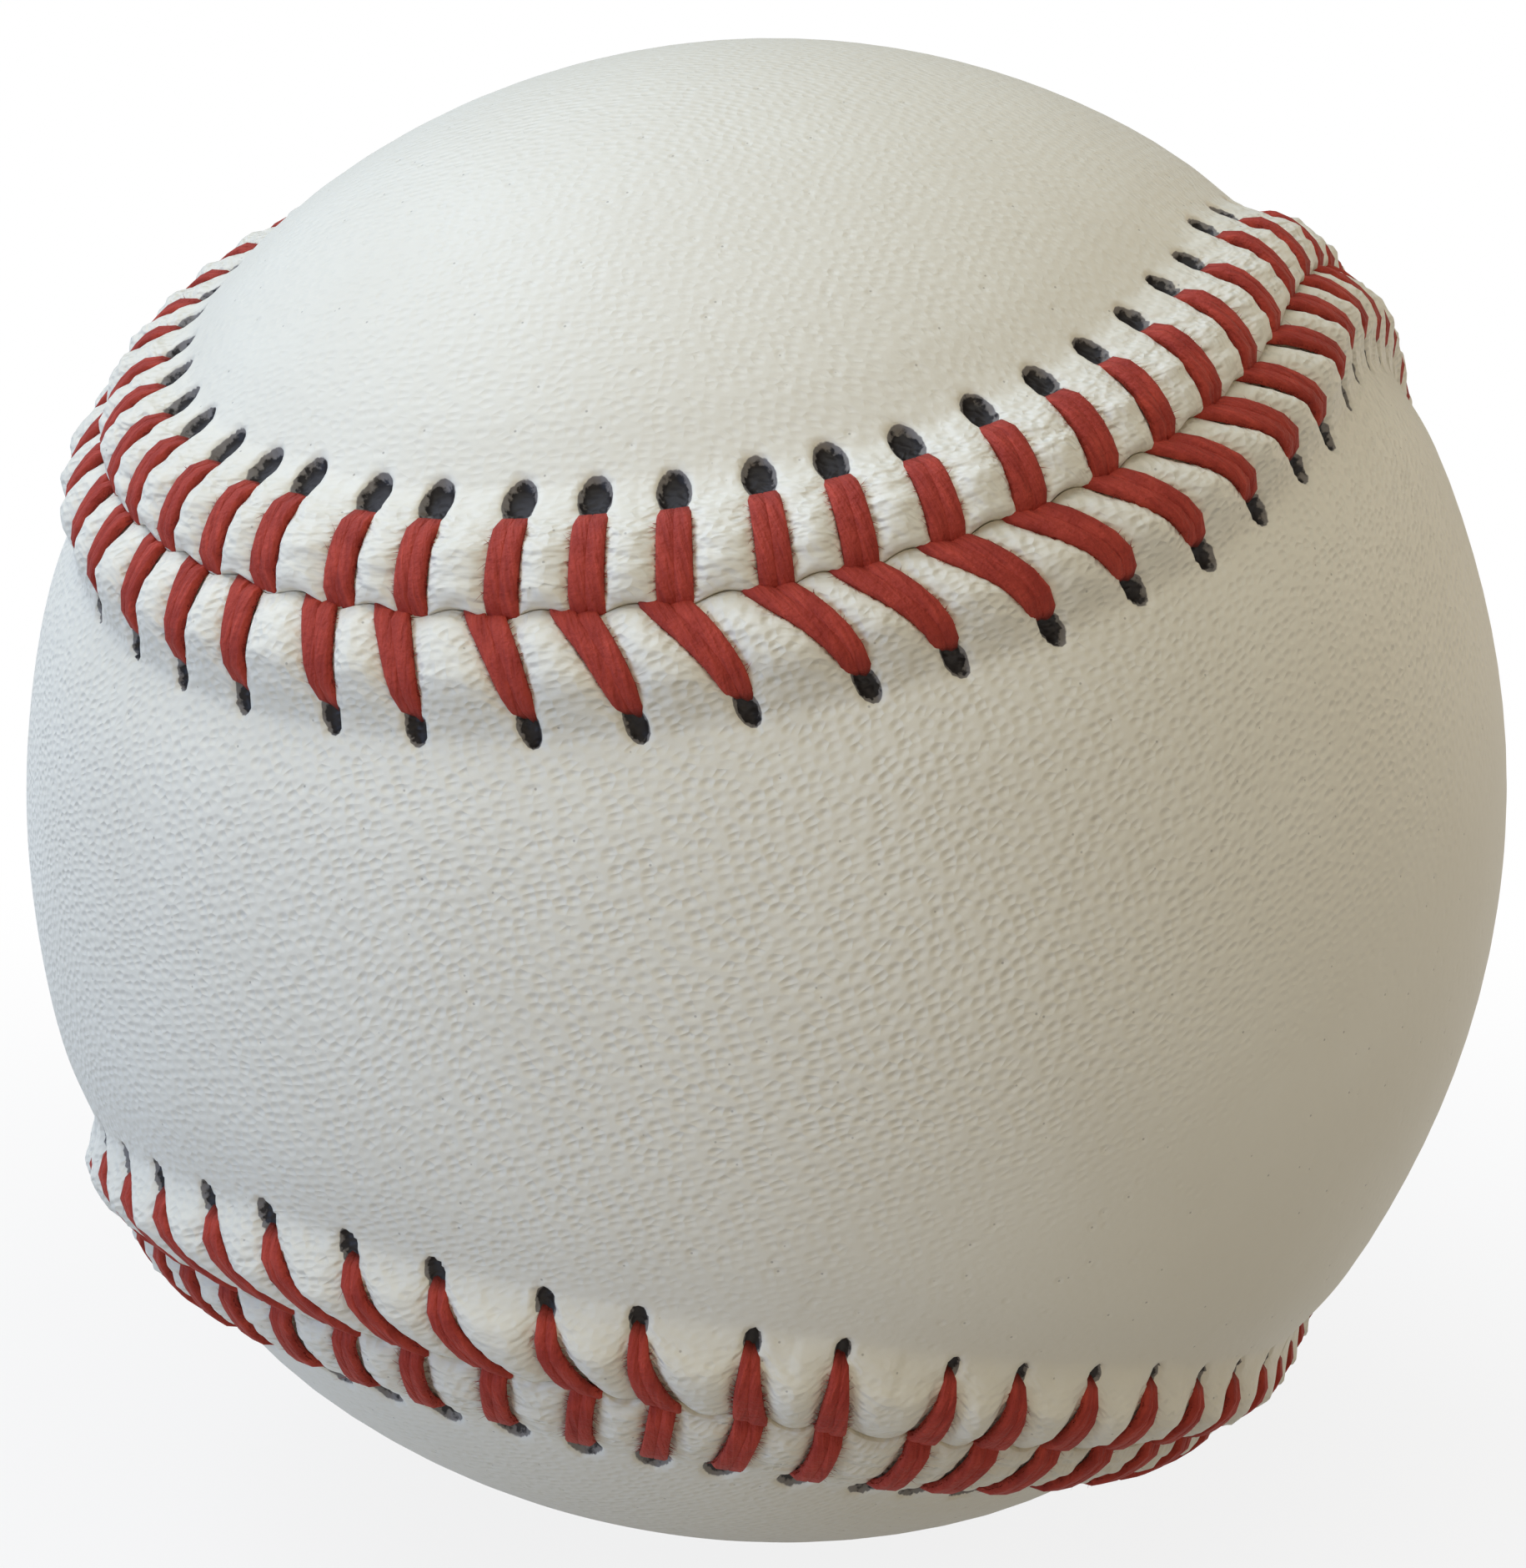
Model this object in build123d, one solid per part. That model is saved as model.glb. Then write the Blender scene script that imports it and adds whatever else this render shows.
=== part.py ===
"""A stitched leather baseball: a cork and rubber centre, four windings of yarn, two leather covers and red thread."""
import os
from math import acos, atan, cos, degrees, hypot, pi, radians, sin, sqrt, tan

from build123d import *
from build123d.topology import SkipClean

# Ball, in millimetres: +Z up, +Y to the back, the origin at the middle of the ball
ball_diameter = 73.6            # over the leather, away from the raised seam
neck_width = 33.0               # narrowest part of a cover panel, from seam to seam along the ball

# Centre, from the inside out
cork_diameter = 20.6
inner_rubber_wall = 3.95
gasket_height = 1.6
outer_rubber_wall = 2.4

# Cover, cement and yarn, from the outside in; the first winding fills what is left around the centre
leather_thickness = 1.3
cement_thickness = 0.1
finishing_winding_wall = 0.45
third_winding_wall = 1.85
second_winding_wall = 1.75

# Leather edges along the seam
seam_gap = 1.1                  # between the two edges, where the thread goes down
lip_height = 0.85               # how far the leather stands up beside the seam
lip_edge_height = 0.25
lip_crest_offset = 2.1          # from the seam's middle to the top of the lip
tunnel_height = 0.95            # room for the thread under the lifted leather
front_hole_offset = 4.4         # from the seam's middle to the needle holes
back_hole_offset = 4.8
hole_diameter = 1.9
hole_rim_width = 0.6            # from the needle hole to the end of the tunnel
cut_overrun = 2.0

# Thread: two strands lie side by side in every stitch
stitches_per_quarter = 27       # 108 stitches round the ball
thread_strand_diameter = 0.7
strand_spacing = 0.95           # between the two strands' middles, along the seam
thread_clearance = 0.05         # between a strand and the lip that it lies on
thread_bend_radius = 0.7
over_lip_slope = pi / 7         # slope of the two straight runs over a lip
corner_run_share = 0.45         # how much of a run the bend at its end may take

# Places along one stitch, as shares of its length: the holes, and where each leg dips into the seam
front_hole_share = 0.65
front_dip_share = 1.06
back_hole_share = 1.36
back_dip_share = 1.56

# Radii of the layers
ball_radius = ball_diameter / 2
leather_inner_radius = ball_radius - leather_thickness
finishing_radius = leather_inner_radius - cement_thickness
third_radius = finishing_radius - finishing_winding_wall
second_radius = third_radius - third_winding_wall
first_radius = second_radius - second_winding_wall
cork_radius = cork_diameter / 2
inner_rubber_radius = cork_radius + inner_rubber_wall
outer_rubber_radius = inner_rubber_radius + outer_rubber_wall

# The seam is four equal arcs of small circles, each round the axis of one lobe, that run into each other
neck_angle = neck_width / ball_diameter
lobe_tilt = atan((sqrt(1 / 2) - sin(neck_angle)) / cos(neck_angle))
lobe_angle = pi / 2 - neck_angle - lobe_tilt
half_span = acos((sin(neck_angle) / sqrt(2) - cos(lobe_angle) ** 2) / sin(lobe_angle) ** 2)
stitch_angle = 2 * half_span / stitches_per_quarter
stitch_length = stitch_angle * sin(lobe_angle) * ball_radius

# Heights in the seam, above the leather's plain surface
strand_radius = thread_strand_diameter / 2
tunnel_roof_height = tunnel_height - leather_thickness
hidden_run_height = tunnel_height / 2 - leather_thickness


class SeamArc:
    """A quarter of the seam, round the axis of the lobe that it bounds, walked with the front panel on the left."""

    def __init__(self, half, tip_way, bounds_front):
        self.half = Vector(half)
        self.axis = self.half * cos(lobe_tilt) + Vector(tip_way) * sin(lobe_tilt)
        self.towards_tip = Vector(tip_way) * cos(lobe_tilt) - self.half * sin(lobe_tilt)
        self.across = self.axis.cross(self.towards_tip)
        self.sense = 1 if bounds_front else -1

    def direction(self, stitch, offset):
        """The way out of the ball at a place counted in stitches, and an offset towards the front panel."""
        turn = self.sense * (stitch - stitches_per_quarter / 2) * stitch_angle
        polar = lobe_angle - self.sense * offset / ball_radius
        return self.axis * cos(polar) + (self.towards_tip * cos(turn) + self.across * sin(turn)) * sin(polar)


right, upper, left, lower = seam = [
    SeamArc((1, 0, 0), (0, 1, 0), True),
    SeamArc((0, 0, 1), (0, -1, 0), False),
    SeamArc((-1, 0, 0), (0, 1, 0), True),
    SeamArc((0, 0, -1), (0, -1, 0), False),
]


def layer(outer_radius, inner_radius):
    """A round layer that lies on the one inside it."""
    return Sphere(outer_radius) - Sphere(inner_radius)


def half_ball(way, start=0):
    """The half of space on one side of the middle, as a block that holds half the ball."""
    reach = 2 * (ball_radius + lip_height + thread_strand_diameter)
    block = Box(reach, reach, reach, align=(Align.CENTER, Align.CENTER, Align.MIN))
    return Plane(origin=Vector(way) * start, z_dir=way) * block


def inner_rubber(way):
    """One of the two moulded half shells round the cork, short of the middle by half the gasket."""
    return layer(inner_rubber_radius, cork_radius) & half_ball(way, gasket_height / 2)


def rubber_gasket():
    """The washer between the two half shells, as wide as their walls."""
    slab = Box(2 * inner_rubber_radius, 2 * inner_rubber_radius, gasket_height)
    return layer(inner_rubber_radius, cork_radius) & slab


def leather_section(arc, is_lobe, hole_offset):
    """The leather cut square to the seam: a lip over a tunnel at the edge, then the plain layer."""
    sense = -1 if is_lobe else 1
    far = 0 if is_lobe else 3 * lobe_angle
    start = arc.towards_tip * cos(half_span) - arc.across * sin(half_span)

    def at(angle, height):
        return ((ball_radius + height) * sin(angle), (ball_radius + height) * cos(angle))

    def beside(offset):
        return lobe_angle + sense * offset / ball_radius

    def round_run(begin, end, height):
        ThreePointArc(at(begin, height), at((begin + end) / 2, height), at(end, height))

    edge = beside(seam_gap / 2)
    foot = beside(hole_offset + hole_diameter / 2)
    tunnel_end = beside(hole_offset + hole_diameter / 2 + hole_rim_width)
    with BuildSketch(Plane(origin=(0, 0, 0), x_dir=start, z_dir=start.cross(arc.axis))) as section:
        with BuildLine():
            Line(at(far, -leather_thickness), at(far, 0))
            round_run(far, foot, 0)
            ThreePointArc(at(foot, 0), at(beside(lip_crest_offset), lip_height), at(edge, lip_edge_height))
            Line(at(edge, lip_edge_height), at(edge, tunnel_roof_height))
            round_run(edge, tunnel_end, tunnel_roof_height)
            Line(at(tunnel_end, tunnel_roof_height), at(tunnel_end, -leather_thickness))
            round_run(tunnel_end, far, -leather_thickness)
        make_face()
    return section.sketch


def needle_holes(arc, hole_share, offset):
    """The row of holes along a quarter of the seam, each square to the ball."""
    depth = 2 * (leather_thickness + lip_height + cut_overrun)
    holes = []
    for stitch in range(stitches_per_quarter):
        way = arc.direction(stitch + hole_share % 1, offset)
        holes.append(Plane(origin=way * ball_radius, z_dir=way) * Cylinder(hole_diameter / 2, depth))
    return holes


def cover_panel(lobes, waists, hole_share, hole_offset, towards_front):
    """A figure-eight of leather: two lobes, and the waist that lies between the other panel's lobes."""
    pieces = []
    for arc in lobes + waists:
        section = leather_section(arc, arc in lobes, hole_offset)
        piece = revolve(section, Axis((0, 0, 0), arc.axis), degrees(2 * half_span))
        if arc in waists:
            piece = piece & half_ball(arc.half)
        pieces.append(piece - needle_holes(arc, hole_share, towards_front * hole_offset))
    # The round faces of the four pieces stay apart, because joined they would close on themselves
    with SkipClean():
        return pieces[0].fuse(*pieces[1:])


def over_lip(hole_offset):
    """Corners of a thread over a lip, as offset and height: above the hole, above the crest, above the seam."""
    foot = (hole_offset + hole_diameter / 2, 0)
    crest = (lip_crest_offset, lip_height)
    edge = (seam_gap / 2, lip_edge_height)
    # The circle through the lip's foot, crest and edge, where its two chords' middle lines cross
    outer_slope = (foot[0] - crest[0]) / (crest[1] - foot[1])
    inner_slope = (edge[0] - crest[0]) / (crest[1] - edge[1])
    outer_rise = (foot[1] + crest[1]) / 2 - outer_slope * (foot[0] + crest[0]) / 2
    inner_rise = (edge[1] + crest[1]) / 2 - inner_slope * (edge[0] + crest[0]) / 2
    middle_offset = (inner_rise - outer_rise) / (outer_slope - inner_slope)
    middle_height = outer_rise + outer_slope * middle_offset
    radius = hypot(foot[0] - middle_offset, foot[1] - middle_height) + strand_radius + thread_clearance

    def tangent_height(offset, slope):
        return middle_height + (radius - (offset - middle_offset) * sin(slope)) / cos(slope)

    return [
        (hole_offset, tangent_height(hole_offset, over_lip_slope)),
        (middle_offset, middle_height + radius / cos(over_lip_slope)),
        (0, tangent_height(0, -over_lip_slope)),
    ]


def strand_corners(shift):
    """Corners of a strand round the seam: up a hole, over the lip, down the seam, under the other lip, and again."""
    legs = [
        (1, front_hole_offset, front_hole_share, front_dip_share),
        (-1, back_hole_offset, back_hole_share, back_dip_share),
    ]
    corners = []

    def add(stitch, offset, height):
        quarter, place = divmod(stitch + shift / stitch_length, stitches_per_quarter)
        way = seam[int(quarter) % len(seam)].direction(place, offset)
        corners.append(way * (ball_radius + height))

    stitches = stitches_per_quarter * len(seam)
    for stitch in range(stitches):
        for towards_front, hole_offset, hole_share, dip_share in legs:
            add(stitch + hole_share, towards_front * hole_offset, hidden_run_height)
            for offset, height in over_lip(hole_offset):
                gone_share = 1 - offset / hole_offset
                leg_share = hole_share + (dip_share - hole_share) * gone_share
                add(stitch + leg_share, towards_front * offset, height)
            add(stitch + dip_share, 0, hidden_run_height)
    # The end is tucked under the front lip, short of the first hole
    add(stitches + back_dip_share, front_hole_offset / 2, hidden_run_height)
    return corners


def rounded_path(corners):
    """Straight runs joined by arcs, each of the thread's bend radius or as large as its runs allow."""
    edges = []
    begin = corners[0]
    for before, corner, after in zip(corners, corners[1:], corners[2:]):
        came = (corner - before).normalized()
        goes = (after - corner).normalized()
        half_turn = radians(came.get_angle(goes)) / 2
        longest = corner_run_share * min((corner - before).length, (after - corner).length)
        reach = min(thread_bend_radius * tan(half_turn), longest)
        arc_start = corner - came * reach
        arc_end = corner + goes * reach
        sag = reach / tan(half_turn) * (1 / cos(half_turn) - 1)
        arc_middle = corner + (goes - came).normalized() * sag
        edges.append(Edge.make_line(begin, arc_start))
        edges.append(Edge.make_three_point_arc(arc_start, arc_middle, arc_end))
        begin = arc_end
    edges.append(Edge.make_line(begin, corners[-1]))
    return Wire(edges)


def thread_strand(side):
    """One of the two strands, beside the other one along the seam."""
    path = rounded_path(strand_corners(side * strand_spacing / 2))
    tube = sweep(Plane(origin=path @ 0, z_dir=path % 0) * Circle(strand_radius), path=path)
    print("strand length", round(path.length), "volume over section times length",
          round(tube.volume / (pi * strand_radius ** 2 * path.length), 4))
    return tube


nodes = {
    "cork_core": Sphere(cork_radius),
    "inner_rubber_upper": inner_rubber((0, 0, 1)),
    "inner_rubber_lower": inner_rubber((0, 0, -1)),
    "rubber_gasket": rubber_gasket(),
    "outer_rubber_layer": layer(outer_rubber_radius, inner_rubber_radius),
    "first_winding": layer(first_radius, outer_rubber_radius),
    "second_winding": layer(second_radius, first_radius),
    "third_winding": layer(third_radius, second_radius),
    "finishing_winding": layer(finishing_radius, third_radius),
    "cement_coat": layer(leather_inner_radius, finishing_radius),
    "cover_panel_front": cover_panel([right, left], [upper, lower], front_hole_share, front_hole_offset, 1),
    "cover_panel_back": cover_panel([upper, lower], [right, left], back_hole_share, back_hole_offset, -1),
    "first_thread_strand": thread_strand(-1),
    "second_thread_strand": thread_strand(1),
}

os.makedirs("parts", exist_ok=True)
for name, solid in nodes.items():
    export_step(solid, f"parts/{name}.step")
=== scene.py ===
"""The look of a stitched leather baseball, built from its cork centre out to the red thread, in metres."""

import bmesh
import bpy
import numpy as np
from mathutils import Matrix, Vector


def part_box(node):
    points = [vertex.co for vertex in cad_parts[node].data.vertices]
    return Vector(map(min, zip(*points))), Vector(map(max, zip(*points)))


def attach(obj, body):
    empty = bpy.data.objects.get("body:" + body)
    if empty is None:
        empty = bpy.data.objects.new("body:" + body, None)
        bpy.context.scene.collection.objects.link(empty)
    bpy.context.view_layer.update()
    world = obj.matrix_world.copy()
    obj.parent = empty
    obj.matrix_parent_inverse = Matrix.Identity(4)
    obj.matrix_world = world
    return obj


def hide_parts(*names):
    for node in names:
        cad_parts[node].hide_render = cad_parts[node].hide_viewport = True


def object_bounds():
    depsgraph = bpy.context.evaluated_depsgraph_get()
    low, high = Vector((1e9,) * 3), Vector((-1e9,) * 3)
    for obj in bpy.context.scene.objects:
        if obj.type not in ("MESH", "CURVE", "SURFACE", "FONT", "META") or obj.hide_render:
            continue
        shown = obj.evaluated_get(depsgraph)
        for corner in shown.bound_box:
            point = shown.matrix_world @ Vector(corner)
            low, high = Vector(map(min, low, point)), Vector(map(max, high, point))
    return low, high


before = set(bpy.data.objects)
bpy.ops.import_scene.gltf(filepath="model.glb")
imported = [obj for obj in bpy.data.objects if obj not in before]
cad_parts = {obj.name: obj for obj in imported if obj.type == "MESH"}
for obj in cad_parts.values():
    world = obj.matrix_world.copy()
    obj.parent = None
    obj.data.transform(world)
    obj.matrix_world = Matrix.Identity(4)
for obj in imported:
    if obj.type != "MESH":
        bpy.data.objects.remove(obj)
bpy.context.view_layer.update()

# Cork core
# The pip of the ball: a small ball of ground cork pressed with a little rubber binder.
# It is moulded in one piece and lies loose inside the two rubber half shells.
mm = 0.001
cork_grain = 1.6 * mm


def linear(colour):
    """A written sRGB colour as linear RGBA: a straight line near black, a power curve above it."""
    srgb = np.array([int(colour[place:place + 2], 16) / 255 for place in (0, 2, 4)])
    curve = np.where(srgb <= 0.04045, srgb / 12.92, ((srgb + 0.055) / 1.055) ** 2.4)
    return (*curve, 1.0)


def add(tree, kind, fields={}, inputs={}):
    """Adds a node, sets its fields, and gives its inputs a value or a link from another node's output."""
    new = tree.nodes.new("ShaderNode" + kind)
    for field, value in fields.items():
        setattr(new, field, value)
    for place, value in inputs.items():
        if isinstance(value, bpy.types.NodeSocket):
            tree.links.new(value, new.inputs[place])
        else:
            new.inputs[place].default_value = value
    return new


# Settings that many nodes share
blend = {"data_type": "RGBA"}
times = {"operation": "MULTIPLY"}
times_plus = {"operation": "MULTIPLY_ADD"}
smooth = {"interpolation_type": "SMOOTHSTEP"}


def start_material(name):
    """A new material with its node tree and its main shader."""
    material = bpy.data.materials.new(name)
    material.use_nodes = True
    return material, material.node_tree, material.node_tree.nodes["Principled BSDF"]


def dress_node(name, material):
    """Gives a CAD node that stays its finish."""
    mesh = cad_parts[name].data
    mesh.materials.clear()
    mesh.materials.append(material)


# Pressed cork: brown granules of differing shade with dark joints between them, dull and slightly rough
pressed_cork, tree, shader = start_material("pressed_cork")
place = add(tree, "TexCoord").outputs["Object"]
granules = add(tree, "TexVoronoi", {}, {"Vector": place, "Scale": 1 / cork_grain})
shade = add(tree, "SeparateColor", {}, {"Color": granules.outputs["Color"]}).outputs["Red"]
joint = add(tree, "MapRange", {}, {
    "Value": granules.outputs["Distance"], "From Min": 0.35, "From Max": 0.75}).outputs[0]
granule_colour = add(tree, "Mix", blend, {0: shade, 6: linear("8A5F3C"), 7: linear("B98A5A")}).outputs[2]
cork_colour = add(tree, "Mix", blend, {0: joint, 6: granule_colour, 7: linear("4A3020")}).outputs[2]
cork_bump = add(tree, "Bump", {"invert": True}, {"Strength": 0.6, "Distance": 0.2 * mm, "Height": joint})
tree.links.new(cork_colour, shader.inputs["Base Color"])
tree.links.new(cork_bump.outputs[0], shader.inputs["Normal"])
shader.inputs["Roughness"].default_value = 0.85
dress_node("cork_core", pressed_cork)

# Inner rubber shells
# Two half shells of black rubber that close round the cork, short of each other by the gasket.
# They are moulded, so the skin is smooth with a faint cloudiness from the mould.
moulding_cloud = 3.0 * mm


def rubber(name, body_colour, cloud_colour, roughness):
    """Moulded rubber: an even colour with cloudy patches a few millimetres wide that also change the gloss."""
    material, tree, shader = start_material(name)
    place = add(tree, "TexCoord").outputs["Object"]
    cloud = add(tree, "TexNoise", {}, {"Vector": place, "Scale": 1 / moulding_cloud, "Detail": 6.0}).outputs["Fac"]
    colour = add(tree, "Mix", blend, {0: cloud, 6: linear(body_colour), 7: linear(cloud_colour)})
    gloss = add(tree, "MapRange", {}, {"Value": cloud, "To Min": roughness - 0.1, "To Max": roughness + 0.1})
    bump = add(tree, "Bump", {}, {"Strength": 0.15, "Distance": 0.1 * mm, "Height": cloud})
    tree.links.new(colour.outputs[2], shader.inputs["Base Color"])
    tree.links.new(gloss.outputs[0], shader.inputs["Roughness"])
    tree.links.new(bump.outputs[0], shader.inputs["Normal"])
    return material


# Black natural rubber: near black, half matt
black_rubber = rubber("moulded_black_rubber", "1C1B1A", "2A2826", 0.55)
dress_node("inner_rubber_upper", black_rubber)
dress_node("inner_rubber_lower", black_rubber)

# Rubber gasket and outer rubber layer
# The red rubber washer that seals the two half shells, and the red rubber ball moulded round all of it.
# Both are the same soft rubber, coloured with iron oxide.
# Red rubber: brick red, half matt, a little cloudier than the black
red_rubber = rubber("moulded_red_rubber", "8C3B30", "A04A3A", 0.6)
dress_node("rubber_gasket", red_rubber)
dress_node("outer_rubber_layer", red_rubber)

# Wound yarn
# Four layers of yarn wound tight over the rubber: grey wool, white wool, grey wool and fine white cotton.
# The winding machine lays the yarn in bands along great circles that keep turning, so bands cross everywhere.
winding_rows = 128
bands = 70
yarns_in_a_band = 6
yarn_roundness = 0.95  # just under 1, so that the gap between two yarns is no sharp crease
yarn_relief = 0.45  # how deep that gap is, as a share of a yarn's width


def grid_faces(rows, columns):
    """Four-sided faces between the rows of a grid whose last column runs on into the first."""
    row, column = np.meshgrid(np.arange(rows - 1), np.arange(columns), indexing="ij")
    after = (column + 1) % columns
    faces = np.stack([row * columns + column, row * columns + after,
                      (row + 1) * columns + after, (row + 1) * columns + column], -1)
    return faces.reshape(-1, 4)


def make_piece(name, points, faces, values, material, one_shell=True):
    """A mesh object at the origin from points and faces, with a value or a vector kept at each point.

    One closed shell has its faces turned outwards; a hollow ball comes with its inner wall already turned inwards."""
    mesh = bpy.data.meshes.new(name)
    mesh.from_pydata(points.reshape(-1, 3).tolist(), [], faces)
    for key, value in values.items():
        field, kind = ("vector", "FLOAT_VECTOR") if value.ndim > 1 else ("value", "FLOAT")
        mesh.attributes.new(key, kind, "POINT").data.foreach_set(field, value.astype(np.float32).ravel())
    work = bmesh.new()
    work.from_mesh(mesh)
    bmesh.ops.remove_doubles(work, verts=work.verts, dist=0.001 * mm)
    if one_shell:
        bmesh.ops.recalc_face_normals(work, faces=work.faces)
    work.to_mesh(mesh)
    work.free()
    mesh.polygons.foreach_set("use_smooth", np.ones(len(mesh.polygons), bool))
    mesh.materials.append(material)
    piece = bpy.data.objects.new(name, mesh)
    bpy.context.scene.collection.objects.link(piece)
    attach(piece, "root")
    return piece


def wind_layer(name, node, inside, yarn_width, material, seed):
    """A ball whose radius is ridged by the yarn of the last band over each point, closed by a plain inner ball.

    A band is a strip along a great circle: the distance from its plane gives the ridge, half an ellipse per yarn."""
    outer_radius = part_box(node)[1].x
    inner_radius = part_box(inside)[1].x
    polar, around = np.meshgrid(np.linspace(0, np.pi, winding_rows + 1),
                                np.linspace(0, 2 * np.pi, 2 * winding_rows, endpoint=False), indexing="ij")
    way = np.stack([np.sin(polar) * np.cos(around), np.sin(polar) * np.sin(around), np.cos(polar)], -1)
    chance = np.random.default_rng(seed)
    poles = chance.normal(size=(bands, 3))
    poles /= np.linalg.norm(poles, axis=1, keepdims=True)
    height = np.zeros(polar.shape)
    run = np.zeros(polar.shape)
    side = np.zeros(polar.shape)
    for number, pole in enumerate(poles):
        across = np.arcsin(np.clip(way @ pole, -1, 1)) * outer_radius
        ridge = np.sqrt(1 - (2 * (across / yarn_width % 1) - 1) ** 2 * yarn_roundness)
        first = np.cross(pole, poles[number - 1])
        first /= np.linalg.norm(first)
        along = np.arctan2(way @ np.cross(pole, first), way @ first) * outer_radius
        covered = (np.abs(across) < yarns_in_a_band * yarn_width / 2) | (number == 0)
        height = np.where(covered, ridge, height)
        run = np.where(covered, along, run)
        side = np.where(covered, across, side)
    outside = way * (outer_radius - yarn_relief * yarn_width * (1 - height))[..., None]
    faces = grid_faces(winding_rows + 1, 2 * winding_rows)
    points = np.concatenate([outside.reshape(-1, 3), (way * inner_radius).reshape(-1, 3)])
    both_faces = np.concatenate([faces[:, ::-1], faces + polar.size])
    lay = np.stack([run, side, height], -1).reshape(-1, 3)
    piece = make_piece(name, points, both_faces.tolist(), {"lay": np.concatenate([lay, 0 * lay])}, material, False)
    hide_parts(node)


def yarn(name, light_colour, dark_colour, yarn_width, roughness):
    """Spun yarn: fine twisted fibres drawn as waves slanting along the yarn, with painted shade in the gaps between the
    turns.
    """
    material, tree, shader = start_material(name)
    lay = add(tree, "Attribute", {"attribute_name": "lay"}).outputs["Vector"]
    parts = add(tree, "SeparateXYZ", {}, {"Vector": lay})
    twist = add(tree, "CombineXYZ", {}, {"X": parts.outputs["X"], "Y": parts.outputs["Y"]}).outputs[0]
    ply = add(tree, "TexWave", {"bands_direction": "DIAGONAL"}, {
        "Vector": twist, "Scale": 0.4 / yarn_width, "Distortion": 2.0, "Detail": 3.0}).outputs["Fac"]
    # The fibre waves are drawn in the colour, and painted shade darkens the low gaps between the yarns
    depth = add(tree, "Math", times, {0: parts.outputs["Z"], 1: ply}).outputs[0]
    colour = add(tree, "Mix", blend, {0: depth, 6: linear(dark_colour), 7: linear(light_colour)})
    bump = add(tree, "Bump", {}, {"Strength": 0.5, "Distance": 0.15 * mm, "Height": ply})
    tree.links.new(colour.outputs[2], shader.inputs["Base Color"])
    tree.links.new(bump.outputs[0], shader.inputs["Normal"])
    shader.inputs["Roughness"].default_value = roughness
    shader.inputs["Sheen Weight"].default_value = 0.3
    return material


# Grey and white wool: hairy, matt, with painted shade in the gaps between turns. Cotton: finer, cleaner and a little
# smoother.
wool_width = 1.5 * mm
cotton_width = 0.7 * mm
grey_wool = yarn("spun_grey_wool", "9A9894", "4C4A48", wool_width, 0.95)
white_wool = yarn("spun_white_wool", "E2DED2", "8E897D", wool_width, 0.95)
white_cotton = yarn("spun_white_cotton", "ECE9DF", "9C978A", cotton_width, 0.85)
wind_layer("first_wound_wool", "first_winding", "outer_rubber_layer", wool_width, grey_wool, 11)
wind_layer("second_wound_wool", "second_winding", "first_winding", wool_width, white_wool, 12)
wind_layer("third_wound_wool", "third_winding", "second_winding", wool_width, grey_wool, 13)
wind_layer("finishing_wound_cotton", "finishing_winding", "third_winding",
           cotton_width, white_cotton, 14)

# Cement coat
# A thin coat of latex cement brushed over the last winding, which glues the leather down.
# It dries to a yellowish film that shows the brush and pools a little between the yarns.
brush_streak = 4.0 * mm
# Dried latex: cream, half glossy, with streaks of differing gloss
dried_latex, tree, shader = start_material("dried_latex_cement")
place = add(tree, "TexCoord").outputs["Object"]
streak = add(tree, "TexNoise", {}, {"Vector": place, "Scale": 1 / brush_streak, "Detail": 4.0, "Distortion": 1.5})
film = add(tree, "Mix", blend, {0: streak.outputs["Fac"], 6: linear("D8C99A"), 7: linear("E9DFBE")}).outputs[2]
gloss = add(tree, "MapRange", {}, {"Value": streak.outputs["Fac"], "To Min": 0.25, "To Max": 0.55}).outputs[0]
film_bump = add(tree, "Bump", {}, {"Strength": 0.3, "Distance": 0.1 * mm, "Height": streak.outputs["Fac"]})
tree.links.new(film, shader.inputs["Base Color"])
tree.links.new(gloss, shader.inputs["Roughness"])
tree.links.new(film_bump.outputs[0], shader.inputs["Normal"])
dress_node("cement_coat", dried_latex)

# Leather cover
# Two figure-eight panels of white leather, alum tanned so that they stay white, stretched damp over the ball.
# Their edges meet in one closed seam; the thread pulls the leather up into pillows between the stitches.
ball_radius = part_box("cover_panel_front")[1].x
neck_width = 33.0 * mm  # narrowest part of a panel, from seam to seam along the ball
leather_thickness = 1.3 * mm
stitches_per_quarter = 27
stitches = 4 * stitches_per_quarter

# The seam is four equal arcs of small circles, each round the axis of one lobe, that run into each other
neck_angle = neck_width / ball_radius / 2
lobe_tilt = np.arctan((np.sqrt(1 / 2) - np.sin(neck_angle)) / np.cos(neck_angle))
lobe_angle = np.pi / 2 - neck_angle - lobe_tilt
half_span = np.arccos((np.sin(neck_angle) / np.sqrt(2) - np.cos(lobe_angle) ** 2) / np.sin(lobe_angle) ** 2)
stitch_angle = 2 * half_span / stitches_per_quarter
stitch_length = stitch_angle * np.sin(lobe_angle) * ball_radius

# The four arcs: right, upper, left, lower, walked with the front panel on the left
arc_half = np.array([[1, 0, 0], [0, 0, 1], [-1, 0, 0], [0, 0, -1]], float)
arc_tip = np.array([[0, 1, 0], [0, -1, 0], [0, 1, 0], [0, -1, 0]], float)
arc_sense = np.array([1, -1, 1, -1])
arc_axis = arc_half * np.cos(lobe_tilt) + arc_tip * np.sin(lobe_tilt)
arc_towards_tip = arc_tip * np.cos(lobe_tilt) - arc_half * np.sin(lobe_tilt)
arc_across = np.cross(arc_axis, arc_towards_tip)


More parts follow.
